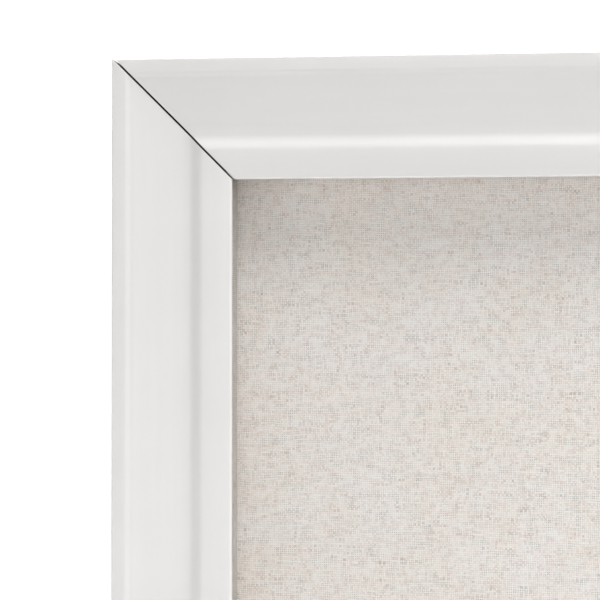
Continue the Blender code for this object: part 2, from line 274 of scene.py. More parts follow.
def white_paint():
    """Satin white paint over primed wood: a soft mottle, fine orange peel, and a few nibs of dirt."""
    material, tree = new_finish("white_paint", {"IOR": 1.48})
    here = tree.place()
    run = tree.along("run", (14, 260, 1))
    mottle = tree.cloud(here, 22, 3)
    grain = tree.cloud(run, 1.0, 4, 0.6)
    tone = tree.add(
        "ShaderNodeValToRGB",
        {"stops": [(0.3, (0.690, 0.677, 0.667, 1)), (0.7, (0.722, 0.712, 0.704, 1))]},
        {0: mottle * 0.6 + grain * 0.4},
    )
    cells = {"Vector": here, "Scale": 58.0}
    nib_distance = tree.add("ShaderNodeTexVoronoi", None, cells)
    nib_cell = tree.add("ShaderNodeTexVoronoi", None, cells, output="Color")
    chosen = tree.add("ShaderNodeSeparateColor", None, {0: nib_cell}).maths("GREATER_THAN", 0.93)
    nib = (1 - nib_distance.between(0.010, 0.022)) * chosen
    specked = tree.mix(nib * 0.55, tone, (0.34, 0.30, 0.27, 1))
    peel = tree.cloud(here, 900, 2)
    roughness = 0.36 + 0.10 * mottle + 0.05 * peel
    height = peel * 0.5 + grain * 0.6 - nib * 0.7
    return dressed(material, tree, specked, roughness, tree.bump(height, 0.00003, 0.8))


def bare_wood():
    """Planed pale wood, with the grain along the rail."""
    material, tree = new_finish("bare_wood")
    grain = tree.cloud(tree.along("run", (7, 700, 1)), 1.0, 5, 0.65)
    growth = tree.cloud(tree.along("run", (1.5, 34, 1)), 1.0, 1.5) * 13
    ring = growth - growth.floor()
    late = ring.between(0.45, 1.0) * (1 - ring.between(0.96, 1.0))
    pale = tree.add(
        "ShaderNodeValToRGB",
        {"stops": [(0.3, (0.50, 0.36, 0.22, 1)), (0.7, (0.66, 0.51, 0.35, 1))]},
        {0: grain},
    )
    tone = tree.mix(late * 0.55, pale, (0.40, 0.25, 0.13, 1))
    return dressed(material, tree, tone, 0.58 + 0.25 * grain, tree.bump(grain, 0.00006, 0.7))


def shaded_end_grain():
    """The sawn end of a rail inside its mitre: end grain painted near black, as painted shade for the deep
    mitre gap.
    """
    material, tree = new_finish("mitre_end_grain_painted_shade")
    pores = tree.cloud(tree.place(), 1400, 3)
    tone = tree.mix(pores, (0.006, 0.005, 0.004, 1), (0.026, 0.020, 0.015, 1))
    return dressed(material, tree, tone, 0.85 + 0.1 * pores)


def natural_linen(name, lightness):
    """Plain-weave linen: uneven threads, each a little lighter or browner than the next, with slubs."""
    material, tree = new_finish(name, {"Sheen Weight": 0.08, "IOR": 1.35})
    cloth = tree.along("cloth")
    warp_way, weft_way, _ = tree.parts(cloth)
    wander = tree.cloud(cloth, 95, 2)
    sway = tree.cloud(tree.along("cloth", (1, 1.07, 1)), 83, 2)
    across = warp_way / WARP_PITCH + wander * 2.2
    upward = weft_way / WEFT_PITCH + sway * 2.2
    warp, weft = across.floor(), upward.floor()
    off_warp = abs(across - warp - 0.5) * 2
    off_weft = abs(upward - weft - 0.5) * 2
    over = (warp + weft).maths("FLOORED_MODULO", 2.0)

    def thread(number, length_along, lane):
        values = {0: number * 3.713, 1: length_along, 2: lane}
        return tree.cloud(tree.add("ShaderNodeCombineXYZ", None, values), 1.0, 2.5, 0.6)

    warp_tone = thread(warp, upward * 0.16, 11.0)
    weft_tone = thread(weft, across * 0.13, 47.0)
    tone = weft_tone + (warp_tone - weft_tone) * over
    edge = off_weft + (off_warp - off_weft) * over
    # Painted shade: the colour darkens towards each thread's edges. In the holes between threads it
    # darkens more, partly for the board showing through and partly as painted shade, most where the weave
    # is open. A lightness below 1 darkens the whole cloth as painted shade.
    open_patch = tree.cloud(cloth, 330, 2).between(0.46, 0.66)
    groove = edge ** 3
    hole = (off_warp * off_weft) ** 2
    shade = lightness - groove * 0.16 - hole * (0.14 + 0.56 * open_patch)
    colour = tree.add(
        "ShaderNodeValToRGB",
        {
            "stops": [
                (0.22, (0.600, 0.520, 0.470, 1)),
                (0.36, (0.830, 0.765, 0.725, 1)),
                (0.50, (0.960, 0.912, 0.880, 1)),
                (0.66, (1.000, 0.985, 0.970, 1)),
            ]
        },
        {0: tone},
    )
    drift = tree.cloud(cloth, 38, 3)
    tint = tree.mix(drift.between(0.35, 0.65), (0.992, 0.975, 0.950, 1), (1.0, 0.990, 0.990, 1))
    tinted = tree.mix(1.0, colour, tint, "MULTIPLY")
    shaded = tree.mix(1.0, tinted, shade, "MULTIPLY")
    crown = (1 - edge * edge) * 0.7 + tone * 0.5 - hole * 0.6
    return dressed(material, tree, shaded, 0.82 + 0.12 * tone, tree.bump(crown, 0.00010, 0.55))


def greyboard():
    """Uncoated grey board, with flecks of recycled fibre."""
    material, tree = new_finish("greyboard")
    here = tree.place()
    pulp = tree.cloud(here, 420, 4, 0.7)
    fleck = tree.cloud(tree.place((1, 1, 3)), 900, 2).between(0.66, 0.72)
    tone = tree.mix(pulp, (0.38, 0.35, 0.31, 1), (0.58, 0.55, 0.50, 1))
    flecked = tree.mix(fleck, tone, (0.22, 0.19, 0.16, 1))
    return dressed(material, tree, flecked, 0.8 + 0.15 * pulp, tree.bump(pulp, 0.00008, 0.6))


def hardboard():
    """Pressed hardboard: brown felted fibres, with the wire screen's print on it."""
    material, tree = new_finish("hardboard")
    here = tree.place()
    felt = tree.cloud(here, 260, 5, 0.7)
    patch = tree.cloud(here, 16, 3)
    fibre = tree.cloud(tree.place((1, 1, 0.18)), 1500, 3).between(0.60, 0.72)
    place_x, _, place_z = tree.parts(here)
    mesh_x = abs((place_x / SCREEN_PITCH + felt * 0.5).maths("SINE"))
    mesh_z = abs((place_z / SCREEN_PITCH + felt * 0.5).maths("SINE"))
    screen = mesh_x * mesh_z
    tone = tree.add(
        "ShaderNodeValToRGB",
        {"stops": [(0.3, (0.185, 0.105, 0.055, 1)), (0.7, (0.345, 0.215, 0.120, 1))]},
        {0: felt * 0.55 + patch * 0.30 + screen * 0.15},
    )
    fibred = tree.mix(fibre * 0.45, tone, (0.50, 0.36, 0.22, 1))
    height = screen * 0.8 + felt * 0.5
    return dressed(material, tree, fibred, 0.62 + 0.25 * felt, tree.bump(height, 0.00012, 0.7))


def plated_steel(name, dull, bright, roughness, stain):
    """Plated sheet steel: drawn scratches, a cloudy plate, and a little tarnish."""
    material, tree = new_finish(name, {"Metallic": 1.0})
    here = tree.place()
    cloudy = tree.cloud(here, 240, 3)
    drawn = tree.cloud(tree.place((1, 1, 0.05)), 3800, 3, 0.6)
    tarnish = tree.cloud(here, 620, 4, 0.65).between(0.58, 0.72)
    plate = tree.mix(cloudy.between(0.35, 0.65), dull, bright)
    tarnished = tree.mix(tarnish * 0.55, plate, stain)
    dulled = roughness + 0.12 * drawn + 0.22 * tarnish
    return dressed(material, tree, tarnished, dulled, tree.bump(drawn, 0.00001, 0.5))


def soft_rubber():
    """Cloudy, faintly yellow rubber with a fine moulded texture."""
    constants = {"Subsurface Weight": 0.25, "Subsurface Scale": 0.002, "IOR": 1.45}
    material, tree = new_finish("soft_rubber", constants)
    here = tree.place()
    haze = tree.cloud(here, 340, 3)
    dust = tree.cloud(here, 2400, 2).between(0.66, 0.74)
    tone = tree.mix(haze, (0.66, 0.64, 0.58, 1), (0.80, 0.79, 0.75, 1))
    dusty = tree.mix(dust * 0.6, tone, (0.45, 0.43, 0.40, 1))
    height = haze + dust * 0.4
    return dressed(material, tree, dusty, 0.42 + 0.25 * haze, tree.bump(height, 0.00004, 0.5))


def picture_glass():
    """Clear low-reflection glass: it shows what is behind it, with a faint shine and a few smears."""
    material = bpy.data.materials.new("picture_glass")
    material.use_nodes = True
    tree = Tree(material.node_tree)
    output = material.node_tree.nodes["Material Output"]
    material.node_tree.nodes.remove(material.node_tree.nodes["Principled BSDF"])
    smear = tree.cloud(tree.place((1, 1, 0.4)), 26, 4).between(0.55, 0.80)
    clear = tree.add("ShaderNodeBsdfTransparent", None, {"Color": (0.995, 0.998, 0.996, 1)})
    gloss = {"Color": grey(1.0), "Roughness": 0.04 + smear * 0.10}
    shine = tree.add("ShaderNodeBsdfGlossy", None, gloss)
    rim = tree.add("ShaderNodeFresnel", None, {"IOR": 1.10})
    glass = tree.add("ShaderNodeMixShader", None, {0: rim, 1: clear, 2: shine})
    tree.feed(output.inputs["Surface"], glass)
    return material


def ground_glass_edge():
    """The glass's ground edge: a frosted sea green."""
    material, tree = new_finish("ground_glass_edge", {"IOR": 1.52})
    frost = tree.cloud(tree.place(), 1900, 3)
    tone = tree.mix(frost, (0.30, 0.52, 0.46, 1), (0.58, 0.76, 0.71, 1))
    return dressed(material, tree, tone, 0.45 + 0.35 * frost, tree.bump(frost, 0.00003, 0.6))


def studio_floor():
    """A matt pale sweep under the box."""
    material, tree = new_finish("studio_floor", {"Roughness": 0.9})
    cloudy = tree.cloud(tree.place(), 2.5, 2)
    return dressed(material, tree, tree.mix(cloudy, grey(0.74), grey(0.78)))


PAINT = white_paint()
WOOD = bare_wood()
# The mitres' sawn ends are painted near black: painted shade in the mitre gap.
SHADED_END_GRAIN = shaded_end_grain()
LINEN = natural_linen("natural_linen", 1.0)
# The spacers' linen is the same cloth made darker: painted shade on the walls of the display space.
SHADED_SIDE_LINEN = natural_linen("shaded_side_linen", 0.73)
BOARD = greyboard()
PANEL = hardboard()
ZINC = plated_steel(
    "zinc_plate", (0.50, 0.51, 0.52, 1), (0.70, 0.70, 0.68, 1), 0.26, (0.52, 0.49, 0.40, 1)
)
NICKEL = plated_steel(
    "nickel_plate", (0.55, 0.51, 0.46, 1), (0.74, 0.70, 0.64, 1), 0.17, (0.40, 0.35, 0.28, 1)
)
RUBBER = soft_rubber()
GLASS = picture_glass()
GLASS_EDGE = ground_glass_edge()


# Mesh helpers


def arc(centre, radius, start, end, steps):
    """Points on an arc in degrees, both ends included."""
    angles = [math.radians(start + (end - start) * i / steps) for i in range(steps + 1)]
    return [(centre[0] + radius * math.cos(a), centre[1] + radius * math.sin(a)) for a in angles]


def linked(name, data):
    """A new object, shown in the scene."""
    obj = bpy.data.objects.new(name, data)
    bpy.context.scene.collection.objects.link(obj)
    return obj


def mesh_from(bm, name):
    mesh = bpy.data.meshes.new(name)
    bm.to_mesh(mesh)
    bm.free()
    return mesh


def smoothed(mesh, sharp):
    """Shades a mesh smooth except at its sharp edges, whose least angle is in degrees."""
    mesh.shade_smooth()
    mesh.set_sharp_from_angle(angle=math.radians(sharp))


def piece_from(bm, name, materials, sharp=40):
    """A shown piece from a bmesh, with its finishes."""
    piece = linked(name, mesh_from(bm, name))
    for material in materials:
        piece.data.materials.append(material)
    smoothed(piece.data, sharp)
    return piece


def baked(obj):
    """The object's evaluated shape as a plain mesh on the same object, with no modifiers left."""
    bpy.context.view_layer.update()
    evaluated = obj.evaluated_get(bpy.context.evaluated_depsgraph_get())
    mesh = bpy.data.meshes.new_from_object(evaluated)
    obj.modifiers.clear()
    obj.data = mesh


def finish_piece(piece, body="frame", nodes=()):
    """Puts a piece on its body and hides the nodes that it stands for."""
    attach(piece, body)
    if nodes:
        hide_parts(*nodes)


def lofted(bm, loops, materials=None, closed=True):
    """Quads between loops of verts of one length; each loop closes on itself if closed is set."""
    count = len(loops[0])
    for near, far in zip(loops, loops[1:]):
        for i in range(count if closed else count - 1):
            j = (i + 1) % count
            face = bm.faces.new((near[i], near[j], far[j], far[i]))
            if materials:
                face.material_index = materials[i]


def slab(name, low, high, edge, materials, segments=2):
    """A sheet of board or glass with softened edges; its second material is on its edges."""
    bm = bmesh.new()
    bmesh.ops.create_cube(bm, size=1.0)
    bmesh.ops.scale(bm, vec=high - low, verts=bm.verts)
    bmesh.ops.translate(bm, vec=(low + high) / 2, verts=bm.verts)
    bmesh.ops.bevel(bm, geom=bm.edges, offset=edge, segments=segments, affect="EDGES", profile=0.5)
    if len(materials) > 1:
        for face in bm.faces:
            face.material_index = 0 if abs(face.normal.y) > 0.9 else 1
    return piece_from(bm, name, materials)


# The moulding


def ease(share):
    return share * share * (3 - 2 * share)


def scoop_shape(share):
    """The scoop falls at its steepest where it leaves the outer step, and eases towards the cove."""
    steep = SCOOP_START_SLOPE * SCOOP_WIDTH / SCOOP_FALL
    return steep * share + (1 - steep) * share * share


def face_run(start, width, rise, shape):
    """Points along one stretch of the moulding's face, after its start point."""
    shares = [i / FACE_STEPS for i in range(1, FACE_STEPS + 1)]
    return [(start[0] + width * t, start[1] + rise * shape(t)) for t in shares]


def painted_section():
    """The painted part of the section: (distance in from the outer edge, height above the back plane)."""
    top = RAIL_THICKNESS
    points = [(0, 0)]
    points += arc((EDGE_RADIUS, top - EDGE_RADIUS), EDGE_RADIUS, 180, 90, ARC_STEPS)
    points.append((FILLET_WIDTH, top))
    points += face_run(points[-1], STEP_WIDTH, -STEP_DROP, ease)
    points += face_run(points[-1], SCOOP_WIDTH, -SCOOP_FALL, scoop_shape)
    valley = points[-1]
    points.append((valley[0] + FLAT_WIDTH, valley[1]))
    points += face_run(points[-1], COVE_WIDTH, COVE_RISE, ease)
    crest = points[-1]
    bead_width = RAIL_WIDTH + LIP_OVERHANG - LIP_RADIUS - crest[0]
    points += face_run(crest, bead_width, -BEAD_FALL, lambda t: t * t)
    shoulder = points[-1]
    points += arc((shoulder[0], shoulder[1] - LIP_RADIUS), LIP_RADIUS, 90, 0, ARC_STEPS)[1:]
    points.append((RAIL_WIDTH - LIP_BACK_CUT, LEDGE_DEPTH))
    return points


def rail_outline():
    """The whole section, the finish of each strip of it, and how far round it each point is."""
    painted = painted_section()
    ledge_end = RAIL_WIDTH - RABBET_WIDTH
    bare = [(ledge_end, LEDGE_DEPTH), (ledge_end, 0)]
    outline = painted + bare
    finishes = [PAINTED] * (len(painted) - 1) + [BARE] * (len(bare) + 1)
    around = [0.0]
    for near, far in zip(outline, outline[1:] + outline[:1]):
        around.append(around[-1] + math.dist(near, far))
    return outline, finishes, around


def rail_stations():
    """Where the section stands along a rail, from end to end.

    Each is (share of half the length, set back from the cut, drawn in towards the rail's core).
    """
    core_reach = (MITRE_CLEARANCE - MITRE_GAP) / math.sqrt(2)
    end = [(core_reach, MITRE_DEPTH), (0, MITRE_DEPTH), (0, SKIN), (SKIN, 0), (5 * SKIN, 0)]
    stations = [(-1, *cut) for cut in end]
    stations += [(-1 + 2 * i / RAIL_STATIONS, *end[-1]) for i in range(1, RAIL_STATIONS)]
    stations += [(1, *cut) for cut in reversed(end)]
    return stations


def rail(name, length, turn, reach, start, slope):
    """A mitred length of moulding, turned about Y, with its outer edge this far from the middle.

    Its ends are cut from start, in from the outer corner, and slope in by so much per metre of width.
    """
    outline, finishes, around = rail_outline()
    core = (RAIL_WIDTH / 2, RAIL_THICKNESS * CORE_HEIGHT)
    bm = bmesh.new()
    run = bm.loops.layers.uv.new("run")
    loops = []
    for share, set_back, inset in rail_stations():
        loop = []
        for inward, height in outline:
            pull = inset / math.dist((inward, height), core)
            inward += (core[0] - inward) * pull
            height += (core[1] - height) * pull
            cut = start + slope * inward + MITRE_GAP / math.sqrt(2)
            half = length / 2 - max(0, cut) - set_back
            loop.append(bm.verts.new((share * half, -height, reach - inward)))
        loops.append(loop)
    lofted(bm, loops[2:-2], finishes)
    # The sunk cut ends take the near-black end grain, painted shade for the mitre gap.
    for sunk in (loops[:3], loops[-3:]):
        lofted(bm, sunk, [SAWN] * len(outline))
    map_along(bm, run, around, length, len(outline))
    for loop in (loops[0], loops[-1]):
        bm.faces.new(loop).material_index = SAWN
    bmesh.ops.recalc_face_normals(bm, faces=bm.faces)
    bm.transform(Matrix.Translation((0, BACK_Y, CENTRE_Z)) @ Matrix.Rotation(turn, 4, "Y"))
    return piece_from(bm, name, [PAINT, WOOD, SHADED_END_GRAIN], 30)


def map_along(bm, run, around, length, count):
    """Maps a rail along its length and round its section, with the seam at the first point."""
    bm.verts.index_update()
    for face in bm.faces:
        columns = [place_in_loops(loop.vert, count)[1] for loop in face.loops]
        over_seam = max(columns) - min(columns) > 1
        for loop, column in zip(face.loops, columns):
            column = count if over_seam and column == 0 else column
            loop[run].uv = (loop.vert.co.x + length, around[column])


def place_in_loops(vert, count):
    """Which loop a vert is in, and where in it, when loops of this count were made in order."""
    return divmod(vert.index, count)


def moulding():
    """Four mitred lengths. The rails are cut a little off the diagonal, and the stiles to match."""
    half_turn = math.pi
    slope = 1 - MITRE_TAPER
    rail_cut = (MITRE_DRIFT, slope)
    stile_cut = (-MITRE_DRIFT / slope, 1 / slope)
    sides = {
        "rail_top": (OUTER_WIDTH, 0, OUTER_HEIGHT / 2, *rail_cut),
        "stile_right": (OUTER_HEIGHT, half_turn / 2, OUTER_WIDTH / 2, *stile_cut),
        "rail_bottom": (OUTER_WIDTH, half_turn, OUTER_HEIGHT / 2, *rail_cut),
        "stile_left": (OUTER_HEIGHT, -half_turn / 2, OUTER_WIDTH / 2, *stile_cut),
    }
    for node, measures in sides.items():
        finish_piece(rail(f"{node}_moulding", *measures), nodes=[node])


# Linen


def wrapped_path(half, front, back):
    """A cloth's path over a board's half width, from its middle round to its hem's end.

    Each point is (distance along the cloth, distance out from the middle, depth in Y).
    """
    flat = half - FOLD_RADIUS
    count = max(2, round(flat / FRONT_STEP))
    outline = [(flat * i / count, front) for i in range(count + 1)]
    outline += arc((flat, front + FOLD_RADIUS), FOLD_RADIUS, -90, 0, FOLD_STEPS)[1:]
    outline += arc((flat, back - FOLD_RADIUS), FOLD_RADIUS, 0, 90, FOLD_STEPS)
    hem = HEM - FOLD_RADIUS
    outline += [(flat - hem * i / HEM_STEPS, back) for i in range(1, HEM_STEPS + 1)]
    travelled = 0.0
    path = [(0.0, *outline[0])]
    for near, far in zip(outline, outline[1:]):
        travelled += math.dist(near, far)
        path.append((travelled, *far))
    return path


def mirrored(path):
    """A path over both halves of a board, from one hem's end to the other's."""
    return [(-along, -out, depth) for along, out, depth in reversed(path[1:])] + path


def drawn_in(out, half, other_out, other_half):
    """Draws a hem's end in by its distance from the fold, so that two hems meet on the diagonal."""
    start = half - HEM - FRONT_STEP
    if abs(out) <= start:
        return out
    from_fold = other_half - abs(other_out)
    share = (abs(out) - start) / (half - start)
    return math.copysign(start + share * (half - from_fold - start), out)


def linen_cover():
    """Linen stretched over the board: its hems are turned behind it, with mitred corners."""
    low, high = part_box("linen_cover")
    front, back = low.y + CLOTH / 2, high.y - CLOTH / 2
    half_width = (high.x - low.x) / 2 - CLOTH / 2
    half_height = (high.z - low.z) / 2 - CLOTH / 2
    across = mirrored(wrapped_path(half_width, front, back))
    upward = mirrored(wrapped_path(half_height, front, back))
    bm = bmesh.new()
    cloth = bm.loops.layers.uv.new("cloth")
    verts = {}
    for i, (_, out_x, depth_x) in enumerate(across):
        for j, (_, out_z, depth_z) in enumerate(upward):
            beyond_x, beyond_z = depth_x > front + TINY, depth_z > front + TINY
            if beyond_x and beyond_z:
                continue
            x, z = out_x, out_z
            if depth_z > back - TINY:
                x = drawn_in(out_x, half_width, out_z, half_height)
            if depth_x > back - TINY:
                z = drawn_in(out_z, half_height, out_x, half_width)
            relief = 0
            if not (beyond_x or beyond_z):
                relief = COVER_RELIEF * noise.noise(Vector((x, 0, z)) * COVER_WAVES)
            verts[i, j] = bm.verts.new((x, max(depth_x, depth_z) + relief, CENTRE_Z + z))
    for i in range(len(across) - 1):
        for j in range(len(upward) - 1):
            corners = [(i, j), (i + 1, j), (i + 1, j + 1), (i, j + 1)]
            if any(corner not in verts for corner in corners):
                continue
            face = bm.faces.new([verts[corner] for corner in corners])
            for loop, (a, b) in zip(face.loops, corners):
                loop[cloth].uv = (across[a][0] + 1, upward[b][0] + 1)
    piece = piece_from(bm, "linen_cover_cloth", [LINEN], 60)
    thicken(piece)
    finish_piece(piece, nodes=["linen_cover"])
    flat = (2 * across[-1][0], 2 * upward[-1][0])
    trimmed = 4 * (across[-1][0] - half_width) * (upward[-1][0] - half_height)
    area = flat[0] * flat[1] - trimmed


def thicken(piece):
    """Gives a single sheet of mesh the cloth's thickness, half on each side."""
    solid = piece.modifiers.new("cloth", "SOLIDIFY")
    solid.thickness = CLOTH
    solid.offset = 0
    baked(piece)


def backing_board():
    """The card inside the linen cover, just clear of the cloth."""
    low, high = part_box("linen_cover")
    trim = Vector((CLOTH + SLACK,) * 3)
    card = slab("backing_board_card", low + trim, high - trim, CARD_EDGE, [BOARD])
    finish_piece(card, nodes=["backing_board"])


def wrap_section(half_width, half_depth):
    """Once round a strip, from one side of the wrap's opening to the other."""
    section = [(half_width, half_width * WRAP_OPENING)]
    for side_w, side_d, start in ((1, 1, 0), (-1, 1, 90), (-1, -1, 180), (1, -1, 270)):
        centre = (side_w * (half_width - WRAP_RADIUS), side_d * (half_depth - WRAP_RADIUS))
        section += arc(centre, WRAP_RADIUS, start, start + 90, WRAP_STEPS)
    section.append((half_width, -half_width * WRAP_OPENING))
    return section


def spacer(side):
    """A board strip with linen wrapped round it, open on its outer side, against the rabbet."""
    low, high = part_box(f"spacer_{side}")
    lengthwise = 0 if side in ("top", "bottom") else 2
    widthwise = 2 - lengthwise
    outward = 1 if side in ("top", "right") else -1
    half_width = (high[widthwise] - low[widthwise]) / 2 - CLOTH / 2
    half_depth = (high.y - low.y) / 2 - CLOTH / 2
    middle = (low + high) / 2
    section = wrap_section(half_width, half_depth)
    travelled = [0.0]
    for near, far in zip(section, section[1:]):
        travelled.append(travelled[-1] + math.dist(near, far))
    length = high[lengthwise] - low[lengthwise]
    stations = max(2, round(length / FRONT_STEP))
    bm = bmesh.new()
    cloth = bm.loops.layers.uv.new("cloth")
    loops = []
    for station in range(stations + 1):
        loop = []
        for across, depth in section:
            point = middle.copy()
            point[lengthwise] = low[lengthwise] + length * station / stations
            point[widthwise] += outward * across
            point.y += depth
            point.y -= WRAP_RELIEF * noise.noise(point * WRAP_WAVES)
            loop.append(bm.verts.new(point))
        loops.append(loop)
    lofted(bm, loops, closed=False)
    bm.verts.index_update()
    for face in bm.faces:
        for loop in face.loops:
            station, place = place_in_loops(loop.vert, len(section))
            loop[cloth].uv = (1 + length * station / stations, 1 + travelled[place])
    # The wraps take the darker linen: painted shade on the recess walls.
    wrap = piece_from(bm, f"spacer_{side}_wrap", [SHADED_SIDE_LINEN], 60)
    thicken(wrap)
    finish_piece(wrap, nodes=[f"spacer_{side}"])
    for axis in (1, widthwise):
        low[axis] += CLOTH + SLACK
        high[axis] -= CLOTH + SLACK
    strip = slab(f"spacer_{side}_strip", low, high, STRIP_EDGE, [BOARD])
    finish_piece(strip)


# Glass and back panel


def glazing():
    pane = slab("glazing_pane", *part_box("glazing"), PANE_EDGE, [GLASS, GLASS_EDGE])
    finish_piece(pane, nodes=["glazing"])


def back_panel():
    panel = slab("back_panel_sheet", *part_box("back_panel"), CARD_EDGE, [PANEL], 3)
    finish_piece(panel, nodes=["back_panel"])


# Back hardware: each is made once and set in its places by one tree

PLATE_POINTS = 48
PLATE_HOLE = 0.0018
BUTTON_EDGE = 0.00025
SCREW_HEAD = 0.0018
SCREW_SHANK = 0.00125
SCREW_POINTS = 32
SCREW_TAPER = 0.0030
SCREW_TIP = 0.0012
RECESS = (0.0052, 0.0026, 0.0013)
THREAD_PITCH = 0.0011
THREAD_HEIGHT = 0.00035
THREAD_ROOT = 0.0001
THREAD_STEPS = 18
THREAD_START = 0.0012
THREAD_END = 0.0020
NAIL_STEEL = 0.0005
NAIL_LEG = 0.0050
NAIL_PROUD = 0.00012
STRAP_STEEL = 0.0010
STRAP_EDGE = 0.0002
EYE_STEEL = 0.00075
EYE_START, EYE_END = 235, -65
EYE_STEPS = 28
RING_WIRE = 0.0011
RING_CORNER = 0.0025
RING_STEPS = 10
BUMPER_EDGE = 0.0010


def setting_tree():
    """Sets a piece of hardware on every point of a mesh, turned about Y by the point's own angle."""
    group = bpy.data.node_groups.new("set_hardware", "GeometryNodeTree")
    for name, kind, way in (
        ("Places", "NodeSocketGeometry", "INPUT"),
        ("Hardware", "NodeSocketObject", "INPUT"),
        ("Finish", "NodeSocketMaterial", "INPUT"),
        ("Play", "NodeSocketFloat", "INPUT"),
        ("Seed", "NodeSocketInt", "INPUT"),
        ("Set Hardware", "NodeSocketGeometry", "OUTPUT"),
    ):
        group.interface.new_socket(name, in_out=way, socket_type=kind)
    tree = Tree(group)
    given = group.nodes.new("NodeGroupInput")
    places, hardware, finish, play, seed = [Wire(tree, given.outputs[i]) for i in range(5)]
    turn = tree.add("GeometryNodeInputNamedAttribute", {"data_type": "FLOAT"}, {"Name": "turn"})
    chance = {"data_type": "FLOAT"}
    slack = tree.add("FunctionNodeRandomValue", chance, {2: -1.0, 3: 1.0, "Seed": seed}, output=1)
    angle = tree.add("ShaderNodeCombineXYZ", None, {1: turn + slack * play})
    shape = tree.add("GeometryNodeObjectInfo", None, {"Object": hardware}, output="Geometry")
    values = {"Points": places, "Instance": shape, "Rotation": angle}
    placed = tree.add("GeometryNodeInstanceOnPoints", None, values)
    solid = tree.add("GeometryNodeRealizeInstances", None, {"Geometry": placed})
    finished = tree.add("GeometryNodeSetMaterial", None, {"Geometry": solid, "Material": finish})
    result = group.nodes.new("NodeGroupOutput")
    tree.feed(result.inputs[0], finished)
    return group


SET_HARDWARE = setting_tree()


def set_in_place(name, pattern, places, finish, play=0.0, seed=1):
    """One mesh of a pattern's copies; places are (point, turn about Y) pairs."""
    mesh = bpy.data.meshes.new(name)
    mesh.from_pydata([tuple(point) for point, _ in places], [], [])
    turn = mesh.attributes.new("turn", "FLOAT", "POINT")
    turn.data.foreach_set("value", [angle for _, angle in places])
    piece = linked(name, mesh)
    setting = piece.modifiers.new("set_hardware", "NODES")
    setting.node_group = SET_HARDWARE
    given = {"Hardware": pattern, "Finish": finish, "Play": play, "Seed": seed}
    for item in SET_HARDWARE.interface.items_tree:
        if item.in_out == "INPUT" and item.name in given:
            setting[item.identifier] = given[item.name]
    baked(piece)
    smoothed(piece.data, 35)
    return piece


def seat_of(node, y):
    """The middle of a node, moved to this depth."""
    low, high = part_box(node)
    seat = (low + high) / 2
    seat.y = y
    return seat


def pattern_from(bm, name):
    """A shape that is only copied from: it isn't shown itself."""
    bmesh.ops.recalc_face_normals(bm, faces=bm.faces)
    return bpy.data.objects.new(name, mesh_from(bm, name))


def turned_loops(bm, profile, steps):
    """Closes a turned shape about Y; the profile's (radius, y) points start and end on the axis."""
    loops = []
    for radius, y in profile[1:-1]:
        angles = [2 * math.pi * i / steps for i in range(steps)]
        loops.append([bm.verts.new((radius * math.cos(a), y, radius * math.sin(a))) for a in angles])
    lofted(bm, loops)
    for loop, (_, y) in ((loops[0], profile[0]), (loops[-1], profile[-1])):
        tip = bm.verts.new((0, y, 0))
        for i in range(steps):
            bm.faces.new((loop[i], loop[(i + 1) % steps], tip))


def recess_cutter(turn):
    """A tapered blade that cuts one arm of a cross recess in a screw's head."""
    bm = bmesh.new()
    bmesh.ops.create_cone(bm, cap_ends=True, segments=4, radius1=0.5, radius2=0.25, depth=1)
    bmesh.ops.rotate(bm, verts=bm.verts, matrix=Matrix.Rotation(math.pi / 4, 3, "Z"))
    bmesh.ops.rotate(bm, verts=bm.verts, matrix=Matrix.Rotation(math.pi / 2, 3, "X"))
    bmesh.ops.scale(bm, vec=RECESS, verts=bm.verts)
    bmesh.ops.rotate(bm, verts=bm.verts, matrix=Matrix.Rotation(turn, 3, "Y"))
    bmesh.ops.translate(bm, vec=(0, SCREW_HEAD + 0.0002, 0), verts=bm.verts)
    return pattern_from(bm, "recess_cutter")


def screw_pattern(node):
    """A pan-head screw along -Y: domed head with a cross recess, threaded shank and point."""
    low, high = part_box(node)
    radius = (high.x - low.x) / 2
    shank_length = high.y - low.y - SCREW_HEAD
    dome = [(radius * math.sin(a), 0.25 + 0.75 * math.cos(a)) for a in (0.3, 0.6, 0.85, 1.1, 1.3)]
    profile = [(0, SCREW_HEAD)]
    profile += [(out, SCREW_HEAD * rise) for out, rise in dome]
    profile += [(radius, 0.0003), (radius - 0.00015, 0.0)]
    profile += [(SCREW_SHANK + 0.0002, 0.0), (SCREW_SHANK, -0.0003)]
    profile += [(SCREW_SHANK, SCREW_TAPER - shank_length)]
    profile += [(SCREW_SHANK * 0.55, SCREW_TIP - shank_length), (0, -shank_length)]
    bm = bmesh.new()
    turned_loops(bm, profile, SCREW_POINTS)
    screw = pattern_from(bm, "screw_pattern")
    shown = bpy.context.scene.collection.objects
    shown.link(screw)
    cutters = [recess_cutter(turn) for turn in (0, math.pi / 2)]
    for cutter in cutters:
        shown.link(cutter)
        screw.modifiers.new("recess", "BOOLEAN").object = cutter
    baked(screw)
    for cutter in cutters:
        bpy.data.objects.remove(cutter)
    add_thread(screw, shank_length)
    shown.unlink(screw)
    return screw


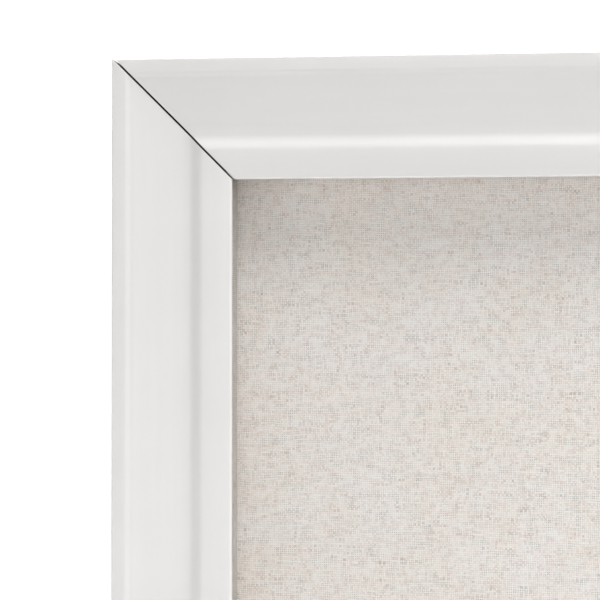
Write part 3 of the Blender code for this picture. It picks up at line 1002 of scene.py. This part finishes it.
def add_thread(screw, length):
    """Winds a ridge along a screw's shank; its height fades over the first and last turns."""
    bm = bmesh.new()
    bm.from_mesh(screw.data)
    count = round((length - THREAD_START - THREAD_END) / THREAD_PITCH * THREAD_STEPS)
    root = SCREW_SHANK - THREAD_ROOT
    loops = []
    for i in range(count + 1):
        angle = 2 * math.pi * i / THREAD_STEPS
        y = -THREAD_START - THREAD_PITCH * i / THREAD_STEPS
        grow = min(1, i / THREAD_STEPS, (count - i) / THREAD_STEPS)
        crest = SCREW_SHANK + THREAD_HEIGHT * grow
        ridge = [(root, THREAD_HEIGHT), (crest, 0), (root, -THREAD_HEIGHT)]
        turned = [(r * math.cos(angle), y + drop, r * math.sin(angle)) for r, drop in ridge]
        loops.append([bm.verts.new(point) for point in turned])
    lofted(bm, loops)
    for loop in (loops[0], loops[-1]):
        bm.faces.new(loop)
    bmesh.ops.recalc_face_normals(bm, faces=bm.faces)
    bm.to_mesh(screw.data)
    bm.free()


def stadium(long_end, short_end, half, inset):
    """Points round a round-ended outline in XZ, its long end along +X."""
    steps = PLATE_POINTS // 2 - 1
    points = arc((long_end - half, 0), half - inset, -90, 90, steps)
    points += arc((half - short_end, 0), half - inset, 90, 270, steps)
    return points


def pierced_plate(bm, outline_at, thickness, edge):
    """A stamped plate with a hole: its edges are rounded on both faces. Y runs from 0 to its thickness."""
    levels = [(edge, 0), (edge * 0.3, edge * 0.3), (0, edge)]
    levels += [(0, thickness - edge), (edge * 0.3, thickness - edge * 0.3), (edge, thickness)]
    outer = [[bm.verts.new((x, y, z)) for x, z in outline_at(inset)] for inset, y in levels]
    angles = [math.atan2(z, x) for x, z in outline_at(0)]
    inner = []
    for inset, y in levels:
        reach = PLATE_HOLE + inset
        inner.append([bm.verts.new((reach * math.cos(a), y, reach * math.sin(a))) for a in angles])
    for walls in (outer, inner, [inner[0], outer[0]], [inner[-1], outer[-1]]):
        lofted(bm, walls)


def turn_buttons():
    """Round-ended plates, each on its own body and turned to point over the back panel."""
    low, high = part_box("turn_button_right_upper")
    half = (high.z - low.z) / 2
    pivot = seat_of("turn_button_screw_right_upper", low.y)
    long_end, short_end = pivot.x - low.x, high.x - pivot.x

    def outline(inset):
        return stadium(long_end, short_end, half, inset)

    bm = bmesh.new()
    pierced_plate(bm, outline, high.y - low.y, BUTTON_EDGE)
    pattern = pattern_from(bm, "turn_button_pattern")
    turns = {"left_upper": 0, "left_lower": 0, "right_upper": math.pi, "right_lower": math.pi}
    turns |= {"top": math.pi / 2, "bottom": -math.pi / 2}
    for place, turn in turns.items():
        node = f"turn_button_{place}"
        seat = seat_of(f"turn_button_screw_{place}", low.y)
        piece = set_in_place(f"{node}_plate", pattern, [(seat, turn)], ZINC)
        finish_piece(piece, node, [node])


def screws():
    """All the screws, each turned in by a different amount."""
    nodes = sorted(node for node in frame["nodes"] if "screw" in node)
    pattern = screw_pattern(nodes[-1])
    places = [(seat_of(node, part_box(node)[1].y - SCREW_HEAD), 0) for node in nodes]
    piece = set_in_place("pan_head_screws", pattern, places, ZINC, play=math.pi / 4, seed=7)
    finish_piece(piece, nodes=nodes)


def nail_pattern(depth):
    """Thin steel bent to a right angle about Y, with a sharpened front edge and curled ends."""
    reach = NAIL_LEG / math.sqrt(2)
    leg = [(-reach - 0.0002, -reach + 0.0004), (-reach, -reach)]
    leg += [(-reach * t, -reach * t) for t in (0.75, 0.5, 0.25, 0.06)]
    path = leg + [(0, -0.0001)] + [(-x, z) for x, z in reversed(leg)]
    levels = [(0.35, 0), (1, 0.0006), (1, depth - 0.0001), (0.8, depth)]
    bm = bmesh.new()
    loops = []
    for width, y in levels:
        outside, inside = [], []
        for i, (x, z) in enumerate(path):
            near = path[max(0, i - 1)]
            far = path[min(len(path) - 1, i + 1)]
            way = Vector((far[0] - near[0], far[1] - near[1])).normalized()
            offset = Vector((-way.y, way.x)) * (NAIL_STEEL / 2 * width)
            outside.append((x + offset.x, z + offset.y))
            inside.append((x - offset.x, z - offset.y))
        loops.append([bm.verts.new((x, y, z)) for x, z in outside + inside[::-1]])
    lofted(bm, loops)
    for loop in (loops[0], loops[-1]):
        for i in range(len(path) - 1):
            bm.faces.new((loop[i], loop[i + 1], loop[-2 - i], loop[-1 - i]))
    return pattern_from(bm, "corner_nail_pattern")


def corner_nails():
    """V nails across the mitres, their bends towards the outer corners."""
    low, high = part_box("corner_nail_top_left_outer")
    depth = high.y - low.y
    pattern = nail_pattern(depth)
    nodes = sorted(node for node in frame["nodes"] if node.startswith("corner_nail"))
    places = []
    for node in nodes:
        sign_x = -1 if "_left_" in node else 1
        sign_z = 1 if "_top_" in node else -1
        seat = seat_of(node, BACK_Y + NAIL_PROUD - depth)
        seat.x += sign_x * NAIL_LEG / 4
        seat.z += sign_z * NAIL_LEG / 4
        places.append((seat, math.atan2(sign_x, sign_z)))
    piece = set_in_place("corner_nails", pattern, places, ZINC)
    finish_piece(piece, nodes=nodes)


def rolled_eye(bm, half, middle_y, middle_z, radius):
    """The top of a strap rolled round its ring's straight side, as an open C."""
    inner = radius - EYE_STEEL
    wall = [(radius, half - STRAP_EDGE), (radius - STRAP_EDGE, half)]
    wall += [(inner + STRAP_EDGE, half), (inner, half - STRAP_EDGE)]
    section = [(r, -x) for r, x in wall] + [(r, x) for r, x in reversed(wall)]
    loops = []
    for i in range(EYE_STEPS + 1):
        angle = math.radians(EYE_START + (EYE_END - EYE_START) * i / EYE_STEPS)
        forward, up = -math.cos(angle), math.sin(angle)
        bent = [(x, middle_y + r * forward, middle_z + r * up) for r, x in section]
        loops.append([bm.verts.new(point) for point in bent])
    lofted(bm, loops)
    for loop in (loops[0], loops[-1]):
        bm.faces.new(loop)


def hangers():
    """Strap plates rolled into an eye at the top, and the rings that hang in them."""
    ring_low, ring_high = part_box("hanger_ring_right")
    plate_low, plate_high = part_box("hanger_plate_right")
    half = (plate_high.x - plate_low.x) / 2
    screw = seat_of("hanger_screw_right", plate_low.y)
    eye_y, eye_z = (ring_low.y + ring_high.y) / 2, ring_high.z - RING_WIRE
    rise = eye_z - screw.z
    drop = screw.z - plate_low.z

    def tongue(inset):
        """The strap below its eye, with a round lower end."""
        steps = PLATE_POINTS // 2 - 1
        edge, top = half - inset, rise - 0.0004 - inset
        points = arc((0, half - drop), edge, 180, 360, steps)
        return points + [(edge - 2 * edge * i / steps, top) for i in range(steps + 1)]

    bm = bmesh.new()
    pierced_plate(bm, tongue, STRAP_STEEL, STRAP_EDGE)
    rolled_eye(bm, half, eye_y - plate_low.y, rise, plate_high.z - eye_z)
    pattern = pattern_from(bm, "hanger_plate_pattern")
    places = [(seat_of(f"hanger_screw_{side}", plate_low.y), 0) for side in ("left", "right")]
    plates = set_in_place("hanger_plates", pattern, places, NICKEL)
    finish_piece(plates, nodes=["hanger_plate_left", "hanger_plate_right"])
    ring_pattern = ring_shape(ring_low, ring_high)
    for side in ("left", "right"):
        node = f"hanger_ring_{side}"
        seat = seat_of(node, eye_y)
        seat.z = eye_z
        ring = set_in_place(f"{node}_wire", ring_pattern, [(seat, 0)], NICKEL)
        finish_piece(ring, node, [node])


def ring_shape(low, high):
    """A closed D of round wire, its straight side up and on the axis that it swings about."""
    half = (high.x - low.x) / 2 - RING_WIRE
    side = (high.z - low.z) - 2 * RING_WIRE - half
    route = arc((-half + RING_CORNER, -RING_CORNER), RING_CORNER, 180, 90, RING_STEPS)
    route += arc((half - RING_CORNER, -RING_CORNER), RING_CORNER, 90, 0, RING_STEPS)
    route += arc((0, -side), half, 0, -180, 4 * RING_STEPS)
    data = bpy.data.curves.new("hanger_ring_pattern", "CURVE")
    data.dimensions = "3D"
    data.bevel_depth = RING_WIRE
    data.bevel_resolution = 5
    spline = data.splines.new("POLY")
    spline.points.add(len(route) - 1)
    for point, (x, z) in zip(spline.points, route):
        welded = abs(z + side * 0.55) < 0.0008 and x > 0
        point.co = (x, 0, z, 1)
        point.radius = 1.10 if welded else 1.0
    spline.use_cyclic_u = True
    curve = linked("hanger_ring_route", data)
    bpy.context.view_layer.update()
    evaluated = curve.evaluated_get(bpy.context.evaluated_depsgraph_get())
    mesh = bpy.data.meshes.new_from_object(evaluated)
    bpy.data.objects.remove(curve)
    return bpy.data.objects.new("hanger_ring_pattern", mesh)


def wall_bumpers():
    """Soft domed buttons with a shallow moulded ring on top, stuck over the lower mitres."""
    low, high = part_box("wall_bumper_left")
    radius, height = (high.x - low.x) / 2, high.y - low.y
    groove = height - 0.00012
    profile = [(0, 0), (radius - 0.0002, 0), (radius, 0.0002)]
    profile += arc((radius - BUMPER_EDGE, height - BUMPER_EDGE), BUMPER_EDGE, 0, 90, 8)
    profile += [(radius * 0.62, height), (radius * 0.56, groove), (radius * 0.50, groove)]
    profile += [(radius * 0.44, height), (0, height)]
    bm = bmesh.new()
    turned_loops(bm, profile, PLATE_POINTS)
    pattern = pattern_from(bm, "wall_bumper_pattern")
    nodes = ["wall_bumper_left", "wall_bumper_right"]
    places = [(seat_of(node, low.y), 0) for node in nodes]
    piece = set_in_place("wall_bumpers_rubber", pattern, places, RUBBER)
    finish_piece(piece, nodes=nodes)


# Camera, light and floor

FOCAL_LENGTH = 120
SENSOR_WIDTH = 36
CAMERA_FROM_CORNER = Vector((0.10005, -0.6379, -0.04645))
CAMERA_YAW = 6.976
CAMERA_PITCH = 0.633
CAMERA_ROLL = 0.035
LIGHT_DISTANCE = 3.0
AMBIENT = 0.06
BACKDROP = 1.1
FLOOR_RADIUS = 1.45


def camera():
    """A long lens a little right of and below the window's upper left corner."""
    corner = Vector((-SIGHT_WIDTH / 2, BACK_Y - LEDGE_DEPTH, CENTRE_Z + SIGHT_HEIGHT / 2))
    data = bpy.data.cameras.new("camera")
    data.sensor_width = SENSOR_WIDTH
    data.lens = FOCAL_LENGTH
    eye = linked("camera", data)
    yaw = Matrix.Rotation(math.radians(CAMERA_YAW), 4, "Z")
    tilt = Matrix.Rotation(math.radians(90 + CAMERA_PITCH), 4, "X")
    roll = Matrix.Rotation(math.radians(CAMERA_ROLL), 4, "Z")
    eye.matrix_world = Matrix.Translation(corner + CAMERA_FROM_CORNER) @ yaw @ tilt @ roll
    bpy.context.scene.camera = eye


def soft_light(name, azimuth, elevation, side, power, colour):
    """A square area light that looks at the box's middle; azimuth 0 is in front of it, 90 to its right."""
    data = bpy.data.lights.new(name, "AREA")
    data.shape = "SQUARE"
    data.size = side
    data.energy = power
    data.color = colour
    lamp = linked(name, data)
    turn, lift = math.radians(azimuth), math.radians(elevation)
    away = Vector((math.sin(turn) * math.cos(lift), -math.cos(turn) * math.cos(lift), math.sin(lift)))
    lamp.location = Vector((0, 0, CENTRE_Z)) + away * LIGHT_DISTANCE
    lamp.rotation_mode = "QUATERNION"
    lamp.rotation_quaternion = away.to_track_quat("Z", "Y")


def surroundings():
    """White all round for the lens, a bright even room for shine, and a dim one for the rest."""
    world = bpy.data.worlds.new("studio")
    bpy.context.scene.world = world
    world.use_nodes = True
    tree = Tree(world.node_tree)
    ray = tree.add("ShaderNodeTexCoord", output="Generated")
    height = tree.parts(ray)[2]
    room = tree.mix(height.between(-0.6, 0.8), (0.30, 0.28, 0.27, 1), (0.80, 0.81, 0.83, 1))
    shining = tree.add("ShaderNodeLightPath", output="Is Glossy Ray")
    seen = tree.add("ShaderNodeLightPath", output="Is Camera Ray")
    lit = tree.mix(shining, grey(AMBIENT), room)
    background = world.node_tree.nodes["Background"]
    tree.feed(background.inputs["Color"], tree.mix(seen, lit, grey(BACKDROP)))


def studio():
    """Soft light from overhead and the upper right, a little from the front, and a fill from behind."""
    surroundings()
    soft_light("overhead", 0, 90, 1.4, 142.0, (1.0, 1.0, 1.0))
    soft_light("key", 30, 60, 2.0, 53.0, (1.0, 0.992, 0.985))
    soft_light("right", 45, 14, 2.0, 10.2, (1.0, 0.99, 0.985))
    soft_light("far_right", 70, 14, 1.6, 10.3, (1.0, 0.99, 0.985))
    soft_light("front", 0, 8, 0.9, 4.6, (1.0, 0.985, 0.975))
    soft_light("behind", 155, 35, 2.4, 78.0, (1.0, 1.0, 1.0))
    bm = bmesh.new()
    bmesh.ops.create_circle(bm, cap_ends=True, segments=96, radius=FLOOR_RADIUS)
    floor = piece_from(bm, "floor", [studio_floor()])
    bpy.context.scene.view_settings.view_transform = "Standard"
    bpy.context.scene.view_settings.look = "None"


camera()
studio()
moulding()
backing_board()
linen_cover()
for spacer_side in ("top", "bottom", "left", "right"):
    spacer(spacer_side)
glazing()
back_panel()
turn_buttons()
screws()
corner_nails()
hangers()
wall_bumpers()
